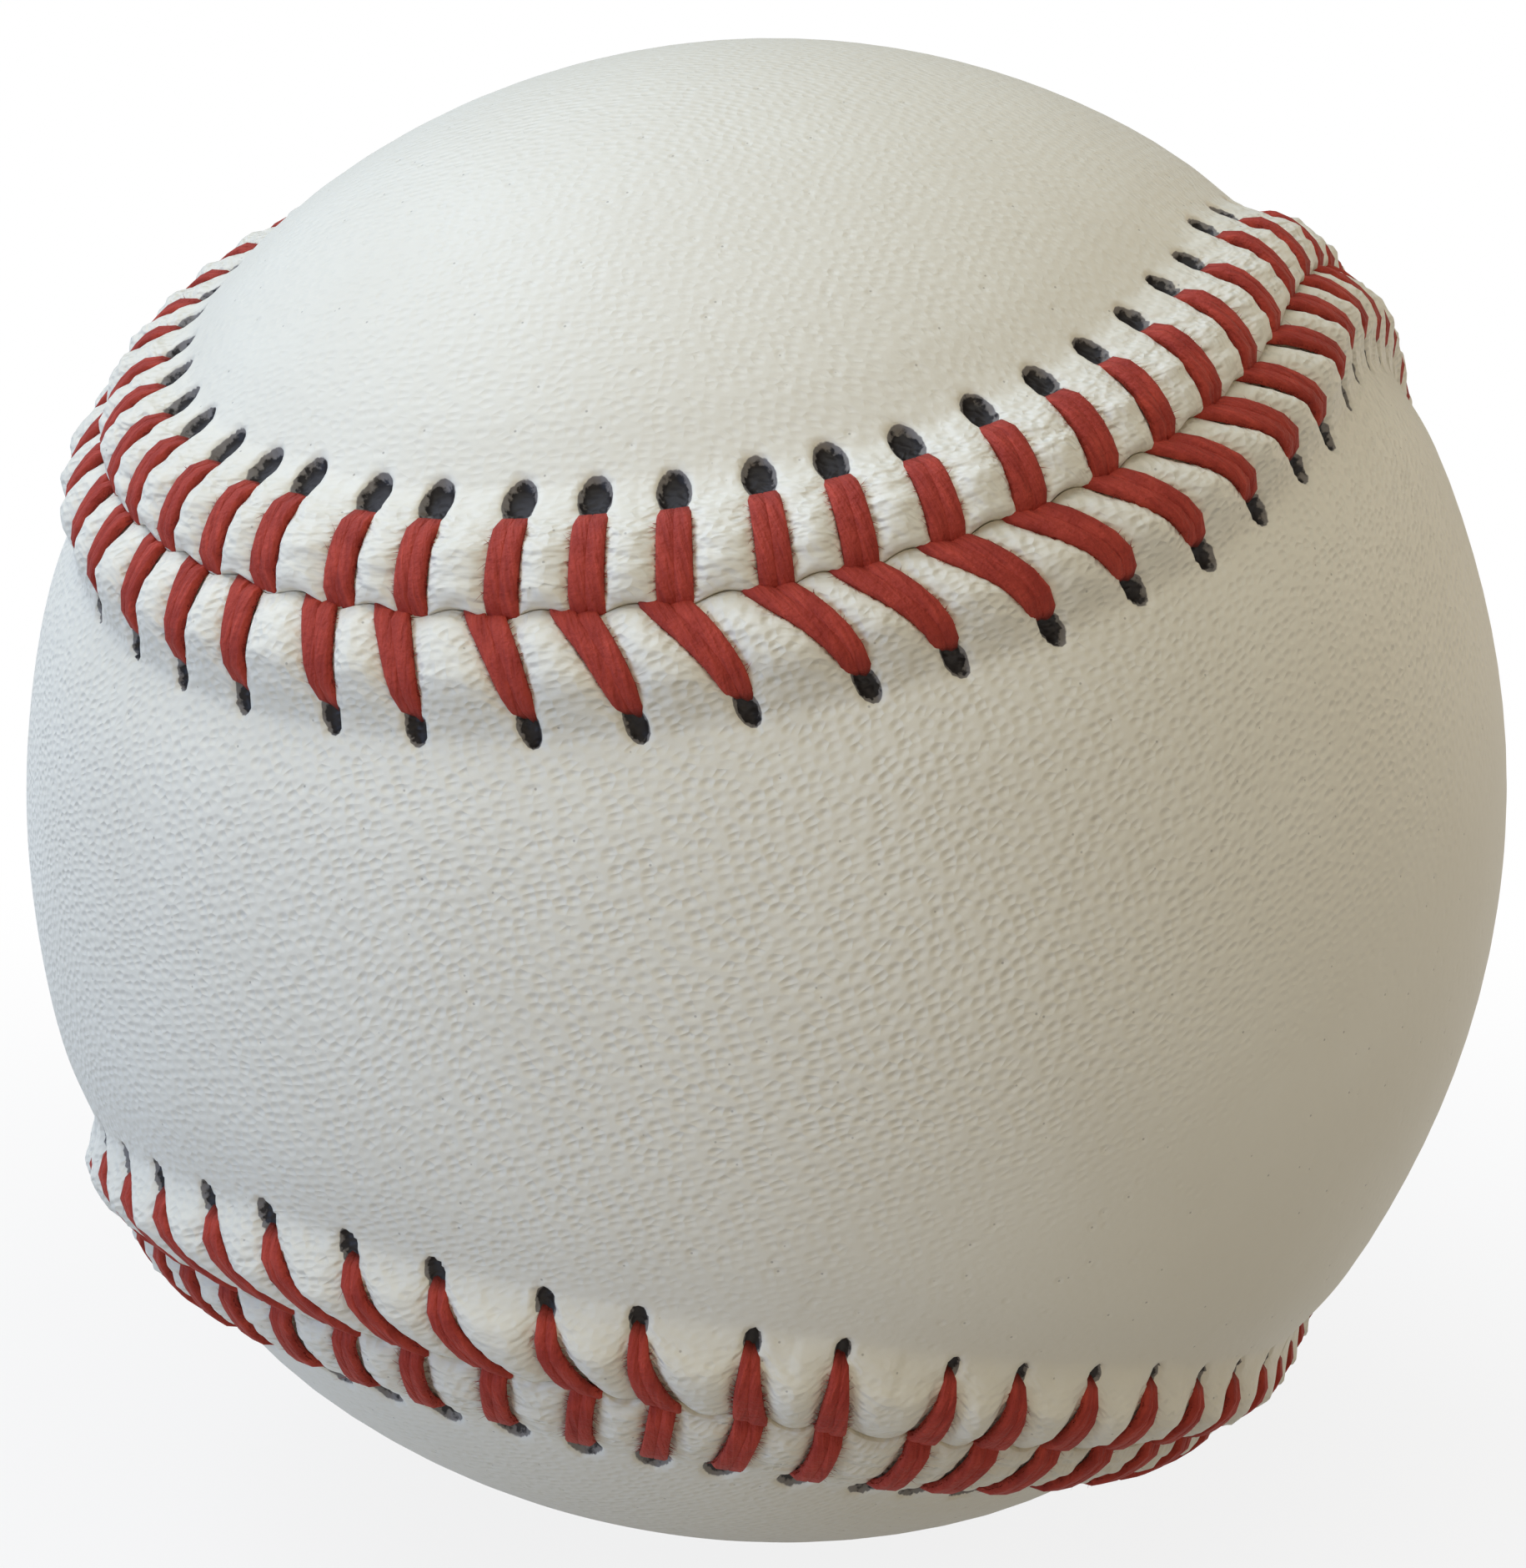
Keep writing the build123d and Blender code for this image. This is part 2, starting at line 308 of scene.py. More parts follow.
def way_out(stitch, offset):
    """The way out of the ball at a place counted in stitches round the seam, and an offset towards the front panel.

    Each arc turns about its lobe's axis at a polar angle that the offset makes smaller or larger."""
    quarter = np.floor(stitch / stitches_per_quarter).astype(int) % 4
    sense = arc_sense[quarter]
    turn = sense * (stitch % stitches_per_quarter - stitches_per_quarter / 2) * stitch_angle
    polar = lobe_angle - sense * offset / ball_radius
    flat = arc_towards_tip[quarter] * np.cos(turn)[..., None] + arc_across[quarter] * np.sin(turn)[..., None]
    return arc_axis[quarter] * np.cos(polar)[..., None] + flat * np.sin(polar)[..., None]


# Places of the stitches, sewn by hand, so each one strays a little: holes in each panel, and where legs meet
hand = np.random.default_rng(108)
stitch_number = np.arange(stitches)
stray = hand.normal(size=(6, stitches)).clip(-1.8, 1.8)
place_stray = 0.04  # in stitches
hole_stray = np.array([0.14, 0.12]) * mm
fullness_stray = 0.05
meeting_middle = 0.46  # the share of a stitch where its two legs meet
meeting_drift = 0.24  # how far that share drifts
earliest_meeting = 40.5  # the place where the legs meet earliest


def meeting_share(place):
    """Where in a stitch its two legs meet: a share that drifts as one cosine round the seam."""
    return meeting_middle - meeting_drift * np.cos(2 * np.pi * (place - earliest_meeting) / stitches)


meeting = stitch_number + meeting_share(stitch_number) + place_stray * stray[0]
# How a leg lies at a few places round the seam, in stitches: how far a front leg comes out past the back leg,
# how far each leg's hole lies behind the leg's end, and how large the legs and the holes are, as shares
lean_places = np.array([0, 27, 33, 36, 39, 44, 54, 85, 94, 101, 108])
front_shifts = np.array([0.0, 0.05, 0.06, 0.12, 0.27, 0.32, 0.2, 0.0, 0.0, 0.0, 0.0])
front_leans = np.array([0.5, 0.67, 0.78, 0.67, 0.38, 0.12, 0.25, 0.7, 0.75, 0.1, 0.5])
back_leans = np.array([0.1, 0.35, 0.15, 0.05, -0.06, -0.25, 0.0, 0.1, 0.2, -0.1, 0.1])
leg_widths = np.array([0.88, 0.82, 0.96, 0.99, 0.93, 0.78, 0.75, 0.68, 0.72, 0.84, 0.88])
front_hole_shares = np.array([0.7, 1.05, 1.0, 0.94, 0.95, 0.85, 0.6, 1.1, 1.05, 0.62, 0.65])
back_hole_shares = np.array([1.0, 0.78, 0.97, 1.0, 1.03, 1.02, 1.0, 1.0, 1.25, 1.1, 1.0])
front_lean = np.interp(stitch_number, lean_places, front_leans) + place_stray * stray[1]
back_lean = np.interp(stitch_number, lean_places, back_leans) + place_stray * stray[2]
front_hole = meeting + np.interp(stitch_number, lean_places, front_shifts) - front_lean
back_hole = meeting - back_lean
front_hole_share = np.interp(stitch_number, lean_places, front_hole_shares)
back_hole_share = np.interp(stitch_number, lean_places, back_hole_shares)
# Along the lower seam the back panel's holes lie further out, and its lip is lower
lower_middle = 97
lower_hole_shift = 0.75 * mm
lower_lip_share = 0.28
lower_share = 0.5 + 0.5 * np.cos(2 * np.pi * (stitch_number - lower_middle) / stitches)
front_hole_offset = 4.5 * mm + hole_stray[0] * stray[3]
back_hole_offset = 4.85 * mm + lower_hole_shift * lower_share ** 4 + hole_stray[1] * stray[4]
front_fullness = 1 + fullness_stray * hand.normal(size=stitches).clip(-2, 2)
back_fullness = 1 + fullness_stray * hand.normal(size=stitches).clip(-2, 2)
back_fullness *= 1 - lower_lip_share * lower_share ** 2
leg_bend = 0.64  # how much of a leg's lean comes late, near the seam

# Sizes of the lips, the holes and the grooves that the legs press into the leather
crest_height = 1.38 * mm
# A lip's arch: how far its crest is from the seam, how high its edge is, the power of its curve, which makes a parabola
# or an ellipse, and how far past a hole's middle it starts to rise
front_arch = (2.5 * mm, 0.45 * mm, 1.0, 0.7 * mm)
back_arch = (1.6 * mm, 0.8 * mm, 0.5, 1.0 * mm)
valley_depth = 0.22 * mm
valley_width = 2.6 * mm
groove_share = 0.58  # how far the leather is pressed down under a leg
# Half a groove's width as a share of a leg's: at the seam, how much less at the holes, and at the least
groove_at_seam = 0.952
groove_narrowing = 0.255
groove_least = 0.595
groove_end = 0.7 * mm  # how far past a hole's middle a groove ends, and over what length
groove_fade = 0.9 * mm
pillow_power = 0.6  # under 1, so that a pillow is blunt
front_fold_height = 0.1 * mm
back_fold_height = 0.14 * mm
fold_lengths = np.array([0.9, 1.4, 2.2]) * mm
fold_sag = 0.9 * mm  # how far a fold hangs towards the seam between two legs
fold_end = 1.2 * mm  # how far past a hole's middle the folds end, and over what length
fold_fade = 2.0 * mm
seam_sway = 0.2 * mm  # the seam is pulled to the front at each meeting, and to the back between
sway_reach = 1.8 * mm
front_leg_half_width = 0.76 * mm
back_leg_half_width = 0.74 * mm
front_hole_size = np.array([0.44, 0.8]) * mm
back_hole_size = np.array([0.76, 1.0]) * mm
hole_depth = 0.5 * mm
hole_steepness = 14
front_flattening = 0.45 * mm  # the front panel is drawn flatter between its seams
back_flattening = 0.0 * mm
flattening_reach = 7.0 * mm
lobe_dip = np.array([0.65, 0.0, 0.3, 0.55]) * mm  # how much flatter than a ball each lobe lies
lobe_dip_reach = 0.55  # in radians from the lobe's axis
strip_width = 8.5 * mm

# The panel's mesh: its cut edge, its fine ring along the seam, its coarse middle and its underside
edge_offsets = np.array([0.3, 0.16, 0.07]) * mm
edge_heights = np.array([-1.15, -0.75, -0.3]) * mm
edge_gap = 0.012 * mm  # from the seam's middle to a panel's edge
fine_columns = 20 * stitches
climb_rows = 9
fall_rows = 28
coarse_columns = 4 * stitches
inner_rows = 12
join_width = 0.6 * mm
under_offsets = np.array([0.4, 1.2, 2.2, 3.4, 4.8, 6.4, 8.0]) * mm
under_drop = 1.15 * mm
under_share = 0.6  # how much of the lip's height the underside follows


def leg_line(gone):
    """How much of a leg's lean is done at a share of its way to the seam: straight past the hole, then a parabola."""
    return (1 - leg_bend) * gone + leg_bend * np.maximum(gone, 0) ** 2


def nearest_stitch(place, offset, hole, lean, hole_offset):
    """For each place on a panel: how far the nearest leg and the nearest hole are, along and across the seam."""
    guess = np.round(place - np.mean(meeting - stitch_number)).astype(int)
    leg_gap = np.full(place.shape, 1.0)
    hole_along = np.full(place.shape, 1.0)
    hole_across = np.full(place.shape, 1.0)
    number_of_leg = np.zeros(place.shape, int)
    for step in (-1, 0, 1, 2):
        number = (guess + step) % stitches
        turns = (guess + step - number)
        gone = np.clip(1 - offset / hole_offset[number], -0.5, 1)
        leg_place = hole[number] + turns + lean[number] * leg_line(gone)
        gap = (place - leg_place) * stitch_length
        number_of_leg = np.where(np.abs(gap) < np.abs(leg_gap), number, number_of_leg)
        leg_gap = np.where(np.abs(gap) < np.abs(leg_gap), gap, leg_gap)
        across = offset - hole_offset[number]
        nearer = gap ** 2 + across ** 2 < hole_along ** 2 + hole_across ** 2
        hole_along = np.where(nearer, gap, hole_along)
        hole_across = np.where(nearer, across, hole_across)
    return leg_gap, hole_along, hole_across, number_of_leg


def lip(offset, hole_offset, arch, flattening):
    """The leather's height beside the seam: half an arch up to the crest, a cosine down past the hole.

    Further from the seam the panel is a little flatter than the ball."""
    crest_offset, edge_height, power, past_hole = arch
    back = np.clip(1 - offset / crest_offset, 0, 1)
    rise = edge_height + (crest_height - edge_height) * (1 - back ** 2) ** power
    foot = hole_offset + past_hole
    fall = crest_height * (0.5 + 0.5 * np.cos(np.pi * np.clip((offset - crest_offset) / (foot - crest_offset), 0, 1)))
    valley = valley_depth * np.exp(-((offset - foot) / valley_width) ** 2) * np.clip(offset / crest_offset - 1, 0, 1)
    flat = flattening * (1 - np.exp(-(np.maximum(offset - hole_offset, 0) / flattening_reach) ** 2))
    return np.where(offset < crest_offset, rise, fall) - valley - flat


def lobe_dips(way):
    """How far the leather lies under the ball: a bell round each lobe's axis."""
    return sum(dip * np.exp(-(np.arccos(np.clip(way @ axis, -1, 1)) / lobe_dip_reach) ** 2)
               for dip, axis in zip(lobe_dip, arc_axis))


def folds(place, line):
    """Soft folds along the seam, between -1 and 1: three waves across it whose phases wander from stitch to stitch."""
    step = np.arange(2 * stitches + 1) / 2
    total = 0
    for wave_length in fold_lengths:
        wander = np.cumsum(hand.normal(size=step.size))
        wander -= np.linspace(0, wander[-1] - wander[0], step.size)
        total = total + np.sin(2 * np.pi * line / wave_length + np.interp(place, step, wander))
    return total / len(fold_lengths)


def make_cover(name, node, side, hole, lean, hole_offset, half_width, hole_size, hole_share, fullness, arch,
               flattening, fold_height, material):
    """A panel of leather: a fine ring along the seam, a coarse middle, and a coarse underside, all closed.

    The ring's height is the lip, pressed down under each leg and sunk in each hole. Columns run square to the seam,
    to a lobe's axis or to the plane across the waist, where the columns from both sides meet."""
    middle_offset = hole_offset.mean()
    crest_offset = arch[0]
    climb = crest_offset * (1 - np.cos(np.linspace(0, np.pi / 2, climb_rows)))
    fall = np.linspace(crest_offset, strip_width, fall_rows)[1:]
    ring_offset = np.concatenate([edge_offsets, climb + edge_gap, fall + edge_gap])
    place, offset = np.meshgrid(np.arange(fine_columns) * stitches / fine_columns, ring_offset)
    leg_gap, hole_along, hole_across, number = nearest_stitch(place, offset, hole, lean, hole_offset)
    leg_edge = half_width * np.maximum(groove_at_seam - groove_narrowing * offset / middle_offset, groove_least)
    between_legs = np.clip((np.abs(leg_gap) - leg_edge) / (stitch_length / 2 - leg_edge), 0, 1)
    pillow = np.sin(np.pi / 2 * between_legs) ** pillow_power
    press = (1 - pillow) * np.clip((hole_offset[number] + groove_end - offset) / groove_fade, 0, 1)
    full = np.interp(place, np.arange(stitches + 1), np.append(fullness, fullness[0]))
    height = lip(offset, hole_offset[number], arch, 0) * (1 - groove_share * press) * full
    height += lip(offset, middle_offset, arch, flattening) - lip(offset, middle_offset, arch, 0)
    fold_line = offset - fold_sag * (1 - np.clip(2 * np.abs(leg_gap) / stitch_length, 0, 1)) ** 2
    folded = np.clip((hole_offset[number] + fold_end - offset) / fold_fade, 0, 1)
    height += fold_height * pillow * folds(place, fold_line) * folded
    hole_reach = np.sqrt((hole_along / hole_size[0]) ** 2 + (hole_across / hole_size[1]) ** 2) / hole_share[number]
    height -= hole_depth / (1 + hole_reach ** hole_steepness)
    height[:len(edge_heights)] = edge_heights[:, None]
    sway = seam_sway * np.cos(2 * np.pi * (place - meeting_share(place))) * np.exp(-(offset / sway_reach) ** 2)
    ring = way_out(place, side * offset + sway)
    ring = ring * (ball_radius + height - lobe_dips(ring))[..., None]

    column = np.arange(coarse_columns) * stitches / coarse_columns
    quarter = (column // stitches_per_quarter).astype(int)
    turn = (column % stitches_per_quarter - stitches_per_quarter / 2) * stitch_angle
    to_waist = np.arctan2(np.cos(lobe_tilt), np.sin(lobe_tilt) * np.cos(turn)) - lobe_angle
    reach = np.where(arc_sense[quarter] == side, lobe_angle, to_waist) * ball_radius
    share = np.linspace(0, 1, inner_rows + 1)[:, None]
    start = strip_width + join_width
    middle_place = np.broadcast_to(column, (inner_rows + 1, coarse_columns))
    middle_across = start + (reach - start) * share
    middle = way_out(middle_place, side * middle_across)
    top = middle * (ball_radius + lip(middle_across, middle_offset, arch, flattening) - lobe_dips(middle))[..., None]
    under_place, under_offset = np.meshgrid(column, under_offsets)
    under_height = np.maximum(under_share * lip(under_offset, middle_offset, arch, 0) - under_drop, -leather_thickness)
    under = way_out(under_place, side * under_offset) * (ball_radius + under_height)[..., None]
    bottom = np.concatenate([under, middle * (ball_radius - leather_thickness)])

    first_top = ring.shape[0] * fine_columns
    first_bottom = first_top + top.shape[0] * coarse_columns
    each = fine_columns // coarse_columns
    before = np.arange(coarse_columns)
    after = (before + 1) % coarse_columns
    fine = (before[:, None] * each + np.arange(each + 1)) % fine_columns
    last_row = (ring.shape[0] - 1) * fine_columns
    join_top = np.column_stack([last_row + fine, first_top + after, first_top + before])
    join_bottom = np.column_stack([fine, first_bottom + after, first_bottom + before])
    faces = grid_faces(ring.shape[0], fine_columns).tolist()
    faces += (grid_faces(top.shape[0], coarse_columns) + first_top).tolist()
    faces += (grid_faces(bottom.shape[0], coarse_columns) + first_bottom).tolist()
    faces += join_top.tolist() + join_bottom.tolist()
    points = np.concatenate([ring.reshape(-1, 3), top.reshape(-1, 3), bottom.reshape(-1, 3)])
    # What the material reads: the middle and the underside are far from any hole or fold
    coarse = np.ones(len(points) - offset.size)
    values = {
        "seam_offset": np.concatenate([offset.ravel(), middle_across.ravel(), np.full(bottom[..., 0].size, 30 * mm)]),
        "hole_reach": np.concatenate([hole_reach.ravel(), 9 * coarse]),
        "fold_line": np.concatenate([fold_line.ravel(), 10 * mm * coarse]),
        "pillow": np.concatenate([pillow.ravel(), coarse]),
    }
    piece = make_piece(name, points, faces, values, material)
    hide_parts(node)


# Alum-tanned leather: warm white and half matt. The hide's grain is rows of small dents that run a little aslant,
# with a few pores; fine wrinkles run along the lips; painted shade darkens the frayed needle holes and the seam's edge.
grain_length = 0.64 * mm  # from dent to dent along a row
grain_row = 0.41 * mm  # from row to row
fade_start = np.radians(40)  # where the grain starts to fade, to the right and downwards, and where it ends
fade_end = np.radians(95)
fade_slope = -2.5  # how much faster it fades downwards than to the right
row_wander = 2.5 * mm  # how far the rows bend, and over what length
row_wander_length = 14.0 * mm
fine_grain = 0.35 * mm
dent_spacing = 1.1 * mm
wrinkle = 0.36 * mm
wrinkle_length = 0.9 * mm
wrinkled_to = np.array([3.0, 5.4]) * mm  # from the seam, where the wrinkles start to fade, and where they end
seam_shade_to = np.array([0.1, 0.6]) * mm  # the same for the painted shade in the crease at the seam's edge
lip_grain_share = 0.5  # how much of the grain stays on a lip where it has faded
tear = 0.38 * mm  # the ragged flesh in a needle hole
mottle = 9.0 * mm
relief_unit = 0.1 * mm


def leather(name, turn, grain_slope, grain_depth, lip_grain_depth, faded_share, wrinkle_depth):
    """White leather whose grain and wrinkles are as deep as they are on that panel, in tenths of a millimetre.

    The turn brings a panel's waist to the front. The grain is a field of cells on the panel's longitude and latitude,
    each with a dent in its middle, in rows that a slow noise bends. It fades aslant, to a share of its depth."""
    material, tree, shader = start_material(name)
    place = add(tree, "TexCoord").outputs["Object"]
    offset = add(tree, "Attribute", {"attribute_name": "seam_offset"}).outputs["Fac"]
    line = add(tree, "Attribute", {"attribute_name": "fold_line"}).outputs["Fac"]
    hole_reach = add(tree, "Attribute", {"attribute_name": "hole_reach"}).outputs["Fac"]
    turned = add(tree, "Mapping", {}, {"Vector": place, "Rotation": turn, "Scale": (1 / ball_radius,) * 3}).outputs[0]
    ways = add(tree, "SeparateXYZ", {}, {"Vector": turned}).outputs
    ahead = add(tree, "Math", times, {0: ways["Y"], 1: -1.0}).outputs[0]
    around = add(tree, "Math", {"operation": "ARCTAN2"}, {0: ways["X"], 1: ahead}).outputs[0]
    above = add(tree, "Math", {"operation": "ARCSINE"}, {0: ways["Z"]}).outputs[0]
    chart = add(tree, "CombineXYZ", {}, {"X": around, "Y": above}).outputs[0]
    slow = add(tree, "TexNoise", {}, {
        "Vector": place, "Scale": 1 / row_wander_length, "Detail": 4.0, "Roughness": 0.35}).outputs["Color"]
    bent = add(tree, "VectorMath", times_plus, {
        0: slow, 1: (row_wander / ball_radius,) * 3, 2: chart}).outputs[0]
    rows = add(tree, "Mapping", {"vector_type": "TEXTURE"}, {
        "Vector": bent, "Rotation": (0, 0, np.radians(grain_slope)),
        "Scale": (grain_length / ball_radius, grain_row / ball_radius, 1.0)}).outputs[0]
    cells = add(tree, "TexVoronoi", {"voronoi_dimensions": "2D"}, {
        "Vector": rows, "Scale": 1.0, "Randomness": 0.7}).outputs
    pit = add(tree, "MapRange", smooth, {
        "Value": cells["Distance"], "From Min": 0.0, "From Max": 0.65, "To Min": 1.0, "To Max": 0.0}).outputs[0]
    chance = add(tree, "SeparateColor", {}, {"Color": cells["Color"]}).outputs["Red"]
    uneven = add(tree, "MapRange", {}, {"Value": chance, "To Min": 0.35, "To Max": 1.0}).outputs[0]
    aslant = add(tree, "Math", times_plus, {0: above, 1: fade_slope, 2: around}).outputs[0]
    fading = add(tree, "MapRange", smooth, {
        "Value": aslant, "From Min": fade_start, "From Max": fade_end, "To Min": 1.0, "To Max": faded_share}).outputs[0]
    fine = add(tree, "TexNoise", {}, {"Vector": place, "Scale": 1 / fine_grain, "Detail": 4.0}).outputs["Fac"]
    dents = add(tree, "TexVoronoi", {}, {"Vector": place, "Scale": 1 / dent_spacing}).outputs["Distance"]
    dent = add(tree, "MapRange", smooth, {
        "Value": dents, "From Min": 0.05, "From Max": 0.26, "To Min": 1.0, "To Max": 0.0}).outputs[0]
    pore = add(tree, "MapRange", smooth, {
        "Value": dents, "From Min": 0.03, "From Max": 0.07, "To Min": 1.0, "To Max": 0.0}).outputs[0]
    row = add(tree, "Math", times, {0: line, 1: wrinkle_length / wrinkle}).outputs[0]
    wrinkles = add(tree, "TexNoise", {"noise_dimensions": "4D"}, {
        "Vector": place, "W": row, "Scale": 1 / wrinkle_length, "Detail": 1.0}).outputs["Fac"]
    on_lip = add(tree, "MapRange", smooth, {
        "Value": offset, "From Min": wrinkled_to[0], "From Max": wrinkled_to[1],
        "To Min": 1.0, "To Max": 0.0}).outputs[0]
    pillow = add(tree, "Attribute", {"attribute_name": "pillow"}).outputs["Fac"]
    puckered = add(tree, "MapRange", {}, {
        "Value": pillow, "From Min": 0.3, "From Max": 0.95, "To Min": 1.5, "To Max": 0.7}).outputs[0]
    deep_here = add(tree, "Math", times, {0: on_lip, 1: puckered}).outputs[0]
    wrinkled = add(tree, "Math", times, {0: wrinkles, 1: deep_here}).outputs[0]

    cloud = add(tree, "TexNoise", {}, {"Vector": place, "Scale": 1 / mottle, "Detail": 3.0}).outputs["Fac"]
    skin = add(tree, "Mix", blend, {0: cloud, 6: linear("DAD4C0"), 7: linear("E4E0CE")}).outputs[2]
    pored = add(tree, "Mix", blend, {0: pore, 6: skin, 7: linear("B4AE9E")}).outputs[2]
    # Painted shade: the leather is drawn a little darker at the seam's edge and down its cut edge, where the lips meet
    # in the crease
    seam_shade = add(tree, "MapRange", {}, {
        "Value": offset, "From Min": seam_shade_to[0], "From Max": seam_shade_to[1], "To Min": 0.25, "To Max": 0.0}).outputs[0]
    seam_shaded = add(tree, "Mix", blend, {0: seam_shade, 6: pored, 7: linear("B4AB9C")}).outputs[2]
    frayed = add(tree, "Math", times_plus, {0: fine, 1: 0.16, 2: hole_reach}).outputs[0]
    inside = add(tree, "MapRange", smooth, {
        "Value": frayed, "From Min": 1.16, "From Max": 1.22, "To Min": 1.0, "To Max": 0.0}).outputs[0]
    torn = add(tree, "TexNoise", {}, {"Vector": place, "Scale": 1 / tear, "Detail": 4.0}).outputs["Fac"]
    cut = add(tree, "Math", times_plus, {0: torn, 1: 1.1, 2: hole_reach}).outputs[0]
    flesh = add(tree, "MapRange", smooth, {
        "Value": cut, "From Min": 1.38, "From Max": 1.56}).outputs[0]
    # Painted shade: a needle hole is drawn near black in its depth, with patches of grey torn flesh towards its rim
    shaded_hole_colour = add(tree, "Mix", blend, {0: flesh, 6: linear("1F1A17"), 7: linear("7A756E")}).outputs[2]
    colour = add(tree, "Mix", blend, {0: inside, 6: seam_shaded, 7: shaded_hole_colour}).outputs[2]

    depth = add(tree, "MapRange", {}, {"Value": on_lip, "To Min": -grain_depth, "To Max": -lip_grain_depth}).outputs[0]
    uneven_depth = add(tree, "Math", times, {0: depth, 1: uneven}).outputs[0]
    kept_on_lip = add(tree, "Math", times, {0: on_lip, 1: lip_grain_share}).outputs[0]
    left_here = add(tree, "Math", {"operation": "MAXIMUM"}, {0: fading, 1: kept_on_lip}).outputs[0]
    faded_depth = add(tree, "Math", times, {0: uneven_depth, 1: left_here}).outputs[0]
    grains = add(tree, "Math", times, {0: pit, 1: faded_depth}).outputs[0]
    with_fine = add(tree, "Math", times_plus, {0: fine, 1: 0.1, 2: grains}).outputs[0]
    with_wrinkles = add(tree, "Math", times_plus, {0: wrinkled, 1: wrinkle_depth, 2: with_fine}).outputs[0]
    with_dents = add(tree, "Math", times_plus, {0: dent, 1: -0.22, 2: with_wrinkles}).outputs[0]
    bump = add(tree, "Bump", {}, {"Strength": 1.0, "Distance": relief_unit, "Height": with_dents}).outputs[0]
    tree.links.new(colour, shader.inputs["Base Color"])
    tree.links.new(bump, shader.inputs["Normal"])
    shader.inputs["Roughness"].default_value = 0.55
    shader.inputs["Specular IOR Level"].default_value = 0.3
    return material


grained_leather = leather("grained_white_leather", (0, 0, 0), 20, 0.85, 0.95, 0.15, 1.8)
smooth_leather = leather("smooth_white_leather", (0, np.pi / 2, np.pi), 105, 0.38, 0.7, 1.0, 2.6)
make_cover("front_cover", "cover_panel_front", 1, front_hole, front_lean, front_hole_offset,
           front_leg_half_width, front_hole_size, front_hole_share, front_fullness, front_arch,
           front_flattening, front_fold_height, grained_leather)
make_cover("back_cover", "cover_panel_back", -1, back_hole, back_lean, back_hole_offset,
           back_leg_half_width, back_hole_size, back_hole_share, back_fullness, back_arch,
           back_flattening, back_fold_height, smooth_leather)

# Red thread
# Two strands of waxed red cotton, sewn together by hand: up through a hole, over the lip, down into the seam,
# under the other panel, and up through its hole. Pulled tight, each strand lies flat in its groove.
leg_rows = 9
hidden_rows = 2
run_rows = leg_rows + hidden_rows
profile_points = 8
small_step = 0.02  # in stitches, to find which way the seam runs
strand_half_height = 0.25 * mm
hole_half_widths = np.array([0.37, 0.29]) * mm  # of a strand at its hole: in a back leg, in a front leg
seam_growths = np.array([0.05, 0.18]) * mm  # how much wider than that it gets towards the seam
width_stray = 0.05
apart_share = 0.79  # how far apart the strands lie, as a share of their width
squareness = 0.45  # the power of a strand's profile: 1 makes an ellipse, 0 a rectangle
taper_reach = 0.3  # the share of a leg that tapers towards a small hole
front_start_gap = 0.45 * mm  # from a hole's middle to where its leg starts
back_start_gap = 0.7 * mm
front_end = -0.45 * mm  # where a leg goes down, past the seam; a front leg's strands one after the other
front_end_step = 0.14 * mm
back_end = -0.2 * mm
rise_power = 12  # how steep a leg is at its hole, and at the seam
fall_power = 18
leg_lift = 0.33 * mm  # a strand's middle over the bottom of its groove
dip_height = -0.7 * mm
hidden_height = -0.62 * mm
fibres_on_a_leg = 24
fibre_lengths = np.array([0.12, 0.45]) * mm
fibre_radius = 0.022 * mm  # over twice a cotton fibre's, to show
fibre_root = 0.9  # where on a strand's half width a fibre stands
fibre_lifts = (-0.2, 0.7)  # how far it leans up, and along the strand, per length outwards
fibre_spread = 0.7


def leg_run(hole, hole_offset, hole_share, lean, fullness, arch, side, start_gap, end_offset, share):
    """A leg from its hole to the seam: its place, offset and height at each share of the way.

    A leg lies on the bottom of its groove in the lip. It rises there as one minus a high power at the hole, and falls
    as a high power at the seam."""
    begin = (hole_offset - start_gap * hole_share)[:, None]
    offset = begin + (end_offset - begin) * share
    place = hole[:, None] + lean[:, None] * leg_line(1 - offset / hole_offset[:, None])
    groove = (1 - groove_share) * lip(offset, hole_offset[:, None], arch, 0) * fullness[:, None]
    risen = (1 - (1 - share) ** rise_power) * (1 - share ** fall_power)
    height = dip_height + (groove + leg_lift - dip_height) * risen
    return place, side * offset, height


def loose_fibres(edge, outwards, over, ahead, leg_start, first_point):
    """Short thin spikes that stand out from a leg's edge, each a pointed three-sided fibre at a random place and angle.

    Gives their points, their faces and the row of the strand that each point belongs to."""
    count = leg_start.size * fibres_on_a_leg
    row = np.repeat(leg_start, fibres_on_a_leg) + hand.integers(1, leg_rows - 2, count)
    between = hand.random(count)[:, None]
    root = edge[row] + (edge[row + 1] - edge[row]) * between
    lift = hand.uniform(*fibre_lifts, count)[:, None]
    slant = hand.normal(0, fibre_spread, count)[:, None]
    lean = outwards[row] + over[row] * lift + ahead[row] * slant
    tip = root + lean * hand.uniform(*fibre_lengths, count)[:, None]
    angle = np.arange(3) * 2 * np.pi / 3
    foot = root[:, None] + fibre_radius * (ahead[row][:, None] * np.cos(angle)[:, None]
                                           + over[row][:, None] * np.sin(angle)[:, None])
    points = np.concatenate([foot, tip[:, None]], 1).reshape(-1, 3)
    corners = np.array([[0, 1, 3], [1, 2, 3], [2, 0, 3], [2, 1, 0]])
    faces = first_point + 4 * np.arange(count)[:, None, None] + corners
    return points, faces.reshape(-1, 3), np.repeat(row, 4)


